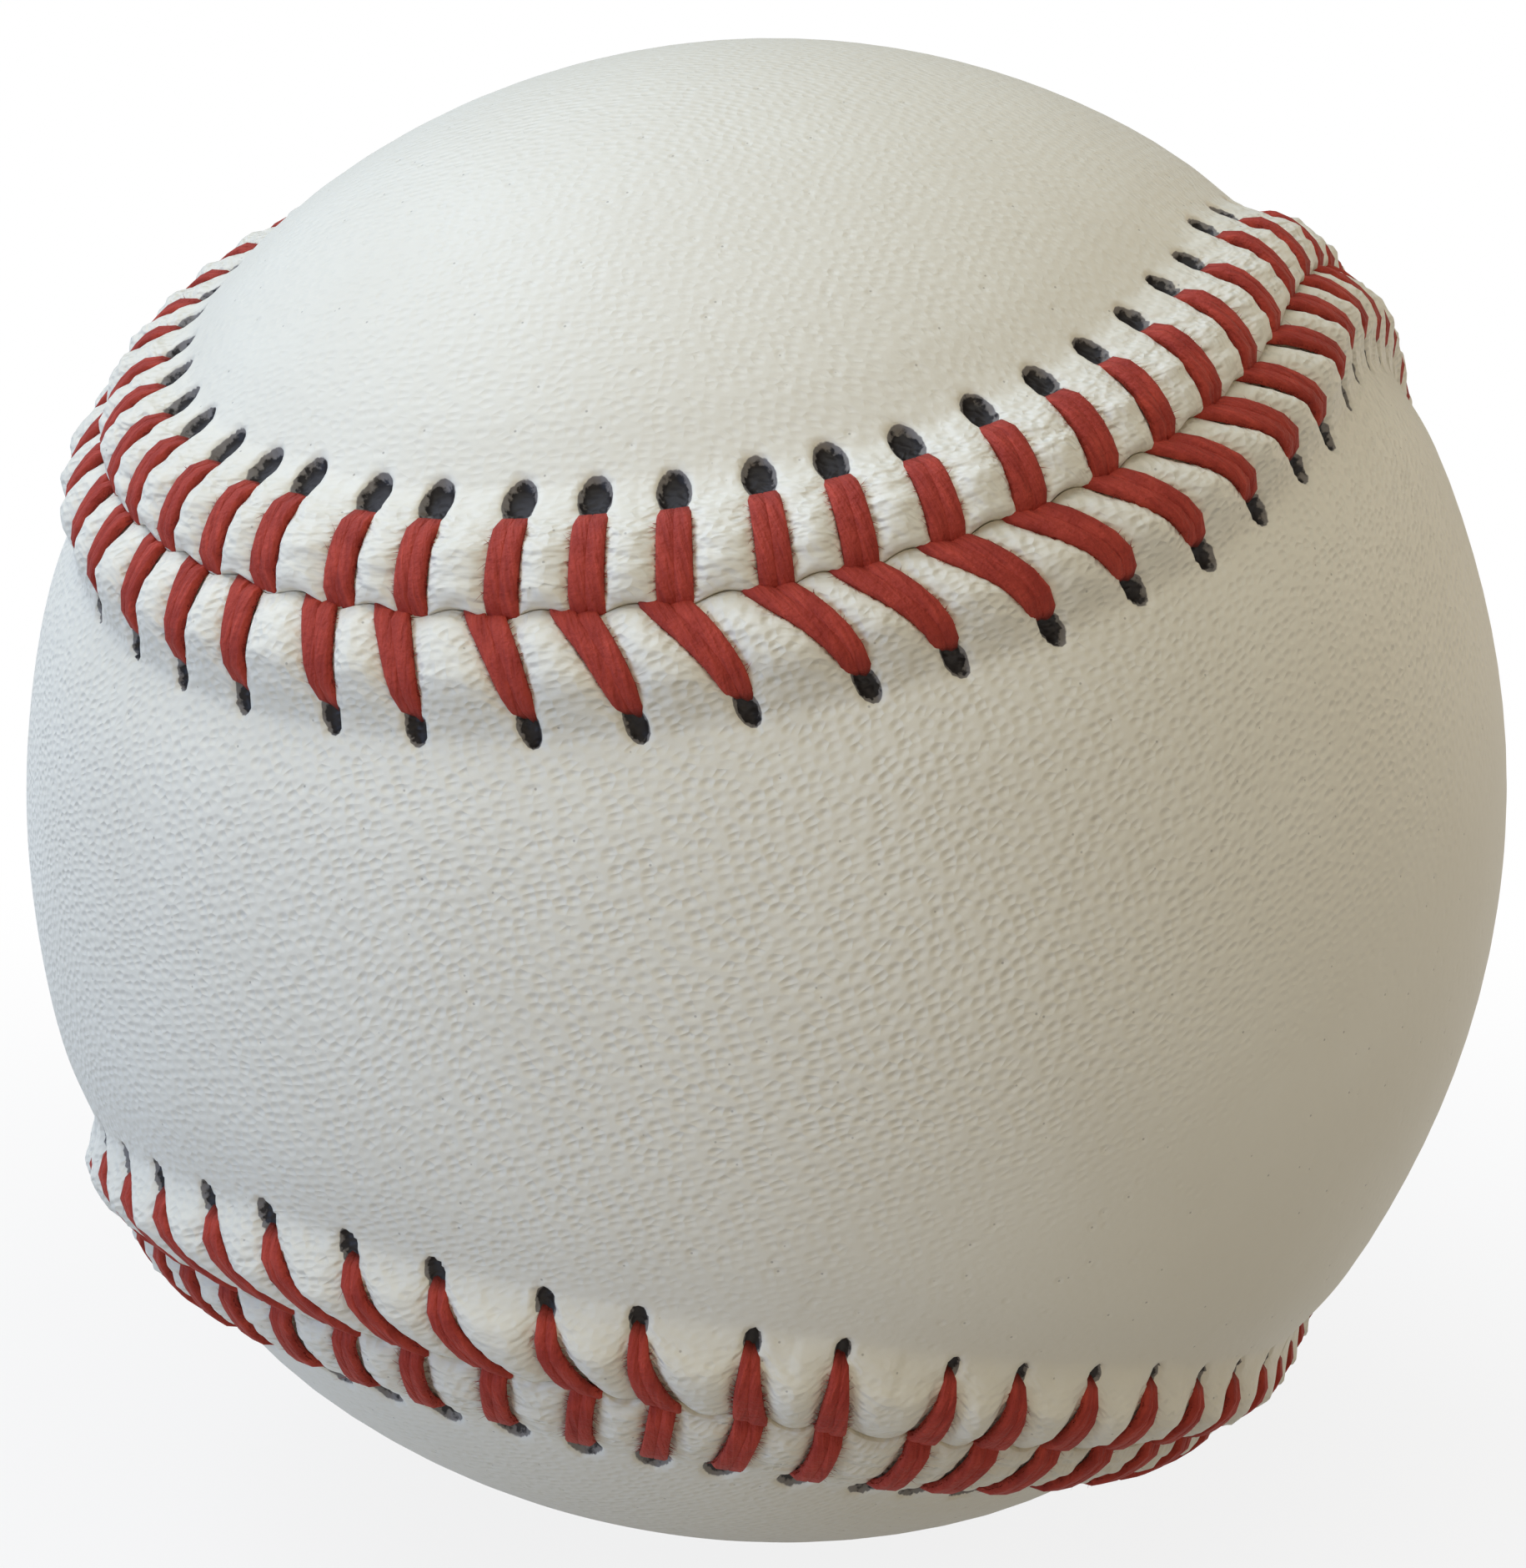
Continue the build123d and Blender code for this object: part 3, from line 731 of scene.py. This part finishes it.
def make_strand(name, node, which, material):
    """One strand as a tube along the whole seam: a flattened ring carried along the legs and the hidden runs."""
    even = np.linspace(0, 1, leg_rows)
    # Rows lie closer together at both ends of a leg
    share = 0.4 * even + 0.3 - 0.3 * np.cos(np.pi * even)
    hidden_share = np.linspace(0, 1, hidden_rows + 2)[1:-1]
    front = leg_run(front_hole, front_hole_offset, front_hole_share, front_lean, front_fullness, front_arch,
                    1, front_start_gap, front_end - front_end_step * which, share)
    back = leg_run(back_hole, back_hole_offset, back_hole_share, back_lean, back_fullness, back_arch,
                   -1, back_start_gap, back_end, share)

    def hidden_run(start, end):
        """The run under a panel from the seam to the next hole: straight, at one height."""
        place = start[0][:, -1:] + (end[0][:, :1] - start[0][:, -1:]) * hidden_share
        offset = start[1][:, -1:] + (end[1][:, :1] - start[1][:, -1:]) * hidden_share
        return place, offset, np.full(place.shape, hidden_height)

    next_front = [np.roll(front[0], -1, 0) + stitches * (stitch_number == stitches - 1)[:, None],
                  np.roll(front[1], -1, 0), np.roll(front[2], -1, 0)]
    first_hidden = hidden_run(front, back)
    second_hidden = hidden_run(back, next_front)
    place, offset, height = [np.concatenate(runs, 1).ravel() for runs in zip(front, first_hidden, back, second_hidden)]
    one = np.concatenate([share, 1 - hidden_share, share, 1 - hidden_share])
    is_front = np.concatenate([np.ones(leg_rows), 0.5 * np.ones(hidden_rows),
                               np.zeros(leg_rows), 0.5 * np.ones(hidden_rows)])
    gone = np.tile(one, stitches)
    front_share = np.tile(is_front, stitches)
    half_width = np.interp(front_share, [0, 1], hole_half_widths)
    half_width += np.interp(front_share, [0, 1], seam_growths) * np.sqrt(gone)
    width_share = np.interp(stitch_number, lean_places, leg_widths) * (1 + width_stray * stray[5])
    half_width *= np.repeat(width_share, 2 * run_rows)
    hole_share = np.repeat(np.column_stack([front_hole_share, back_hole_share]).ravel(), run_rows)
    half_width *= 1 - (1 - hole_share) * np.exp(-(gone / taper_reach) ** 2)
    apart = half_width * apart_share
    up = way_out(place, offset)
    path = up * (ball_radius + height)[:, None]
    ahead = np.roll(path, -1, 0) - np.roll(path, 1, 0)
    ahead /= np.linalg.norm(ahead, axis=1, keepdims=True)
    beside = way_out(place + small_step, offset) - way_out(place - small_step, offset)
    beside -= ahead * (beside * ahead).sum(1, keepdims=True)
    beside /= np.linalg.norm(beside, axis=1, keepdims=True)
    over = np.cross(beside, ahead)
    angle = (np.arange(profile_points) + 0.5) * 2 * np.pi / profile_points
    across = half_width[:, None] * np.sign(np.cos(angle)) * np.abs(np.cos(angle)) ** squareness
    across += which * apart[:, None]
    lift = strand_half_height * np.sign(np.sin(angle)) * np.abs(np.sin(angle)) ** squareness
    ring = path[:, None] + beside[:, None] * across[..., None] + over[:, None] * lift[:, None]
    length = np.concatenate([[0], np.cumsum(np.linalg.norm(np.diff(path, axis=0), axis=1))])
    lay = np.stack([np.broadcast_to(length[:, None], across.shape), across,
                    np.broadcast_to(gone[:, None], across.shape)], -1)
    faces = grid_faces(len(path), profile_points)
    column = np.arange(profile_points)
    after = (column + 1) % profile_points
    last_row = (len(path) - 1) * profile_points
    closing = np.column_stack([last_row + column, last_row + after, after, column])
    edge = path + beside * (which * (apart + fibre_root * half_width))[:, None]
    leg_start = np.arange(2 * stitches) * run_rows
    fuzz_points, fuzz_faces, root = loose_fibres(
        edge, which * beside, over, ahead, leg_start, len(path) * profile_points)
    fuzz_lay = np.stack([length[root], which * apart[root], np.full(root.size, 0.5)], -1)
    points = np.concatenate([ring.reshape(-1, 3), fuzz_points])
    all_faces = faces.tolist() + closing.tolist() + fuzz_faces.tolist()
    piece = make_piece(name, points, all_faces, {"lay": np.concatenate([lay.reshape(-1, 3), fuzz_lay])}, material)
    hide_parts(node)


# Waxed cotton: brick red, half matt, with fine fibres almost along the strand, darker patches of wax
# and a faint pale fuzz, and painted shade where each leg comes up out of its hole
fibre = 0.2 * mm  # ten times as coarse as cotton fibres are, to show
fibre_slant = 0.22
fibre_shortening = 0.1  # they are drawn ten times as long as thick
wax_patch = 1.2 * mm
fluff_size = 0.22 * mm
waxed_cotton, tree, shader = start_material("waxed_red_cotton")
lay = add(tree, "Attribute", {"attribute_name": "lay"}).outputs["Vector"]
parts = add(tree, "SeparateXYZ", {}, {"Vector": lay})
slant = add(tree, "Math", times_plus, {
    0: parts.outputs["X"], 1: fibre_slant, 2: parts.outputs["Y"]}).outputs[0]
stretched = add(tree, "Math", times, {0: parts.outputs["X"], 1: fibre_shortening}).outputs[0]
fibre_place = add(tree, "CombineXYZ", {}, {"X": slant, "Y": stretched}).outputs[0]
fibres = add(tree, "TexNoise", {}, {"Vector": fibre_place, "Scale": 1 / fibre, "Detail": 4.0}).outputs["Fac"]
wax = add(tree, "TexNoise", {}, {
    "Vector": add(tree, "TexCoord").outputs["Object"], "Scale": 1 / wax_patch, "Detail": 3.0}).outputs["Fac"]
spun = add(tree, "Mix", blend, {0: fibres, 6: linear("741E16"), 7: linear("D25643")}).outputs[2]
waxed = add(tree, "MapRange", {}, {
    "Value": wax, "From Min": 0.3, "From Max": 0.7, "To Min": 0.0, "To Max": 0.55}).outputs[0]
mottled = add(tree, "Mix", blend, {0: waxed, 6: spun, 7: linear("7E221A")}).outputs[2]
# Painted shade: each leg is drawn near black red where it comes up out of its hole
hole_shade = add(tree, "MapRange", smooth, {
    "Value": parts.outputs["Z"], "From Min": 0.0, "From Max": 0.1, "To Min": 0.75, "To Max": 0.0}).outputs[0]
red = add(tree, "Mix", blend, {0: hole_shade, 6: mottled, 7: linear("2E1512")}).outputs[2]
fluff = add(tree, "TexNoise", {}, {
    "Vector": add(tree, "TexCoord").outputs["Object"], "Scale": 1 / fluff_size, "Detail": 3.0}).outputs["Fac"]
rough = add(tree, "Math", times_plus, {0: fluff, 1: 0.8, 2: fibres}).outputs[0]
thread_bump = add(tree, "Bump", {}, {"Strength": 1.0, "Distance": 0.13 * mm, "Height": rough})
tree.links.new(red, shader.inputs["Base Color"])
tree.links.new(thread_bump.outputs[0], shader.inputs["Normal"])
shader.inputs["Roughness"].default_value = 0.7
shader.inputs["Specular IOR Level"].default_value = 0.18
shader.inputs["Sheen Weight"].default_value = 0.03
shader.inputs["Sheen Tint"].default_value = linear("F0B8AC")
make_strand("first_sewn_strand", "first_thread_strand", -1, waxed_cotton)
make_strand("second_sewn_strand", "second_thread_strand", 1, waxed_cotton)

# Floor, light and camera
# A pale floor under the ball, soft lamps for a cool window on the left and paler, warmer light elsewhere,
# and the camera where the photograph was taken from.
floor_half = 3.0
shadow_start = 30 * mm  # where the shadow left on the floor starts to fade, and where it ends
shadow_end = 120 * mm
floor_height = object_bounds()[0][2]
floor_corners = np.array([(-1, -1, 0), (1, -1, 0), (1, 1, 0), (-1, 1, 0)]) * floor_half + (0, 0, floor_height)
floor_mesh = bpy.data.meshes.new("floor")
floor_mesh.from_pydata(floor_corners.tolist(), [], [(0, 1, 2, 3)])
floor = bpy.data.objects.new("floor", floor_mesh)
bpy.context.scene.collection.objects.link(floor)

# Seamless paper: white to the eye, with the ball's soft shadow left on it
paper, tree, shader = start_material("white_paper")
shader.inputs["Base Color"].default_value = linear("A8A8A8")
shader.inputs["Roughness"].default_value = 0.9
rays = add(tree, "LightPath")
seen = add(tree, "Math", {"operation": "MAXIMUM"}, {
    0: rays.outputs["Is Camera Ray"], 1: rays.outputs["Is Glossy Ray"]}).outputs[0]
away = add(tree, "VectorMath", {"operation": "LENGTH"}, {0: add(tree, "TexCoord").outputs["Object"]}).outputs["Value"]
whiter = add(tree, "MapRange", smooth, {
    "Value": away, "From Min": shadow_start, "From Max": shadow_end, "To Min": 0.85, "To Max": 1.0}).outputs[0]
share = add(tree, "Math", times, {0: seen, 1: whiter}).outputs[0]
glow = add(tree, "Emission", {}, {"Color": (1, 1, 1, 1), "Strength": 1.0}).outputs[0]
mixed = add(tree, "MixShader", {}, {0: share, 1: shader.outputs[0], 2: glow}).outputs[0]
tree.links.new(mixed, tree.nodes["Material Output"].inputs["Surface"])
floor_mesh.materials.append(paper)

world = bpy.data.worlds.new("studio")
world.use_nodes = True
bpy.context.scene.world = world
tree = world.node_tree
rays = add(tree, "LightPath")
seen = add(tree, "Math", {"operation": "MAXIMUM"}, {
    0: rays.outputs["Is Camera Ray"], 1: rays.outputs["Is Transmission Ray"]}).outputs[0]
backdrop = add(tree, "Background", {}, {"Color": (1, 1, 1, 1), "Strength": 1.0}).outputs[0]
ambient = add(tree, "Background", {}, {"Color": linear("E4ECF8"), "Strength": 0.12}).outputs[0]
mixed = add(tree, "MixShader", {}, {0: seen, 1: ambient, 2: backdrop}).outputs[0]
tree.links.new(mixed, tree.nodes["World Output"].inputs["Surface"])

lamp_distance = 0.7


def hang_lamp(name, azimuth, elevation, size, watts, colour):
    """A square soft lamp that faces the ball, at an azimuth from the front and an elevation."""
    lamp = bpy.data.lights.new(name, "AREA")
    lamp.size = size
    lamp.energy = watts
    lamp.color = linear(colour)[:3]
    turn = Matrix.Rotation(np.radians(azimuth), 3, "Z") @ Matrix.Rotation(np.radians(90 - elevation), 3, "X")
    hung = bpy.data.objects.new(name, lamp)
    hung.matrix_world = Matrix.Translation(turn @ Vector((0, 0, lamp_distance))) @ turn.to_4x4()
    bpy.context.scene.collection.objects.link(hung)


hang_lamp("window", -86, 54, 0.5, 3.8, "DCE8FF")
hang_lamp("ceiling", 22, 64, 0.5, 2.1, "FAFAF4")
hang_lamp("cool_wall", -30, 3, 0.4, 3.6, "B8D0FF")
hang_lamp("warm_wall", 48, 3, 0.4, 1.1, "FFE4BC")
hang_lamp("right_wall", 90, 2, 0.4, 0.25, "FFEFD8")
hang_lamp("far_wall", 155, 12, 0.5, 1.35, "FFEBCF")

camera_azimuth = 34.31
camera_elevation = 16.31
camera_roll = 1.04
camera_distance = 4.8268  # in ball radii, like the next two
camera_sideways = -0.0131
camera_raised = 0.0136
image_width = 1830
focal_pixels = 4283
camera = bpy.data.cameras.new("camera")
camera.sensor_fit = "HORIZONTAL"
camera.sensor_width = 36.0
camera.lens = focal_pixels / image_width * camera.sensor_width
turn = (Matrix.Rotation(np.radians(camera_azimuth), 3, "Z")
        @ Matrix.Rotation(np.radians(90 - camera_elevation), 3, "X")
        @ Matrix.Rotation(np.radians(camera_roll), 3, "Z"))
stand = Vector((camera_sideways, camera_raised, camera_distance)) * ball_radius
view = bpy.data.objects.new("camera", camera)
view.matrix_world = Matrix.Translation(turn @ stand) @ turn.to_4x4()
bpy.context.scene.collection.objects.link(view)
bpy.context.scene.camera = view
bpy.context.scene.view_settings.view_transform = "Standard"
